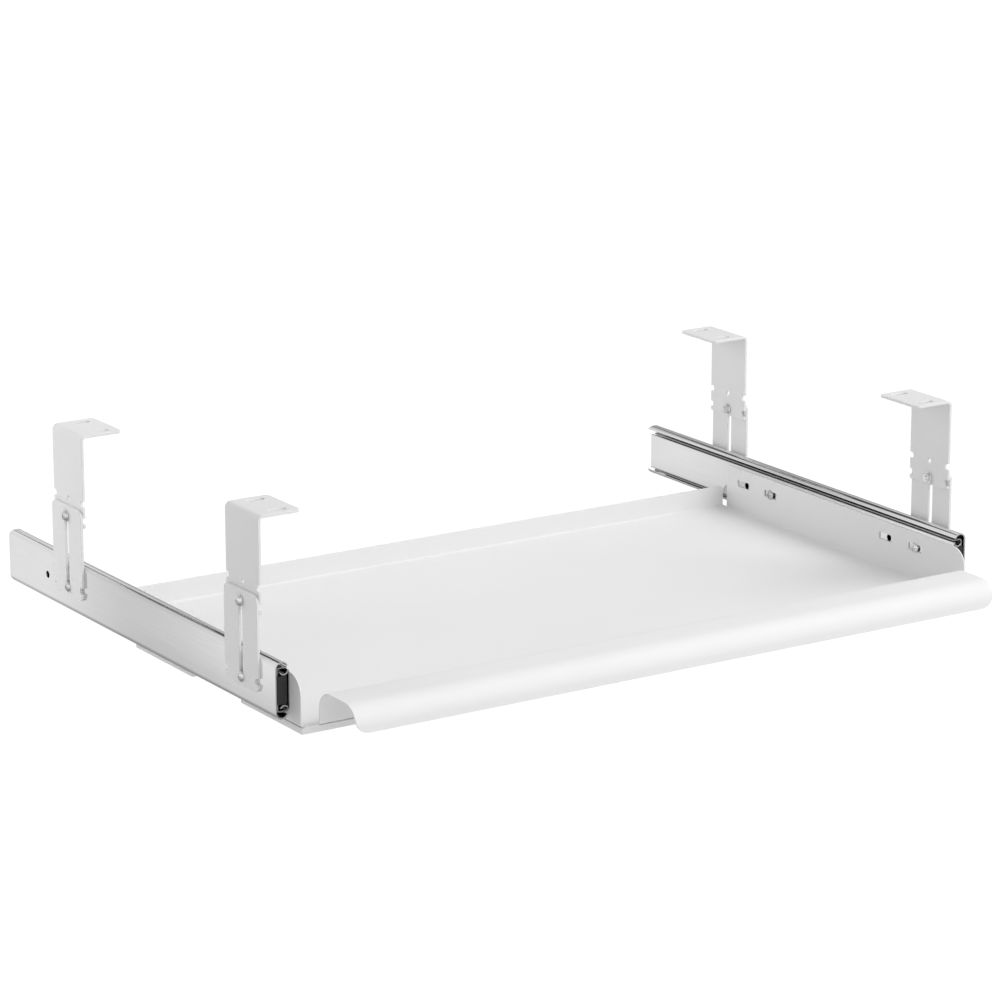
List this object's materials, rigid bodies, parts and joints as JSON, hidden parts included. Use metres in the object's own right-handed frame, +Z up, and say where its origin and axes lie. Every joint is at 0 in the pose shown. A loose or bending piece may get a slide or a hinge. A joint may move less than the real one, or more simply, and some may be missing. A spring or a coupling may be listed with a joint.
{
  "type": "under desk drawer",
  "caption": "Wide shallow steel tray with a rolled pull lip, on full-extension ball bearing slides hung from height-adjustable L hangers with slotted straps.",
  "frame": {"origin": "middle of the four hangers on the desk face, which is the plane of their top flanges", "axes": "+X to the right as a seated user faces the drawer, +Y towards the back of the desk, +Z up into the desk top"},
  "size_m": [0.681, 0.5215, 0.1643],
  "materials": {
    "tray_powder_coat": "satin white powder coat with a fine texture",
    "hanger_powder_coat": "satin white powder coat with a fine texture",
    "bright_zinc": "smooth bright zinc plate with faint rolling lines",
    "dark_zinc": "dark greased zinc plate",
    "black_plastic": "moulded black plastic",
    "ball_steel": "polished bearing steel",
    "screw_zinc": "bright zinc plated steel"
  },
  "bodies": {
    "hangers": {"hanger_front_left": "hanger_powder_coat", "hanger_front_right": "hanger_powder_coat", "hanger_rear_left": "hanger_powder_coat", "hanger_rear_right": "hanger_powder_coat", "hanger_bolts": "screw_zinc", "hanger_nuts": "screw_zinc"},
    "slide_frame": {"strap_front_left": "hanger_powder_coat", "strap_front_right": "hanger_powder_coat", "strap_rear_left": "hanger_powder_coat", "strap_rear_right": "hanger_powder_coat", "outer_rail_left": "bright_zinc", "outer_rail_right": "bright_zinc", "rear_stop_left": "black_plastic", "rear_stop_right": "black_plastic", "rail_screws": "screw_zinc"},
    "outer_cages": {"outer_cage_left": "dark_zinc", "outer_cage_right": "dark_zinc", "outer_balls_left": "ball_steel", "outer_balls_right": "ball_steel"},
    "middle_rails": {"middle_rail_left": "dark_zinc", "middle_rail_right": "dark_zinc", "front_bumper_left": "black_plastic", "front_bumper_right": "black_plastic"},
    "inner_cages": {"inner_cage_left": "dark_zinc", "inner_cage_right": "dark_zinc", "inner_balls_left": "ball_steel", "inner_balls_right": "ball_steel"},
    "drawer": {"tray": "tray_powder_coat", "front_stiffener": "tray_powder_coat", "rear_stiffener": "tray_powder_coat", "inner_rail_left": "bright_zinc", "inner_rail_right": "bright_zinc", "tray_screws": "screw_zinc"}
  },
  "joints": [
    {"name": "height_adjust", "type": "slide", "parent": "hangers", "child": "slide_frame", "axis": [0, 0, 1], "range_m": [0, 0.025]},
    {"name": "drawer_slide", "type": "slide", "parent": "slide_frame", "child": "drawer", "axis": [0, -1, 0], "range_m": [0, 0.42]},
    {"name": "middle_rail_slide", "type": "slide", "parent": "slide_frame", "child": "middle_rails", "axis": [0, -1, 0], "range_m": [0, 0.21]},
    {"name": "outer_cage_slide", "type": "slide", "parent": "slide_frame", "child": "outer_cages", "axis": [0, -1, 0], "range_m": [0, 0.105]},
    {"name": "inner_cage_slide", "type": "slide", "parent": "slide_frame", "child": "inner_cages", "axis": [0, -1, 0], "range_m": [0, 0.315]}
  ],
  "couplings": [
    {"joint": "middle_rail_slide", "follows": "drawer_slide", "ratio": 0.5},
    {"joint": "outer_cage_slide", "follows": "drawer_slide", "ratio": 0.25},
    {"joint": "inner_cage_slide", "follows": "drawer_slide", "ratio": 0.75}
  ]
}
